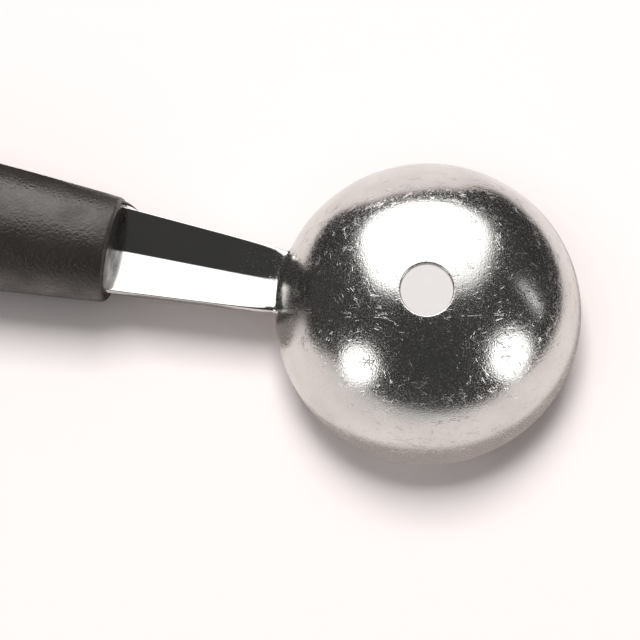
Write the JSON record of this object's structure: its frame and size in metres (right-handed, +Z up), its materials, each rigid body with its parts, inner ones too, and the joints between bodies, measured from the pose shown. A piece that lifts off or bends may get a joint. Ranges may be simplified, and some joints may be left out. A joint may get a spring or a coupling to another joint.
{
  "type": "melon baller",
  "caption": "Double-ended melon baller: a large and a small drained steel bowl on V-grooved necks, moulded into a black spindle handle.",
  "frame": {"origin": "on the table, under the middle of the tool's overall length", "axes": "+X along the tool towards the large scoop, +Z up from the table towards the domes, Y across"},
  "size_m": [0.1786, 0.03, 0.0169],
  "materials": {
    "scoop_steel": "polished stainless sheet with fine drawing marks",
    "handle_plastic": "black, finely grained"
  },
  "bodies": {
    "root": {"large_scoop": "scoop_steel", "small_scoop": "scoop_steel", "handle": "handle_plastic"}
  },
  "joints": []
}
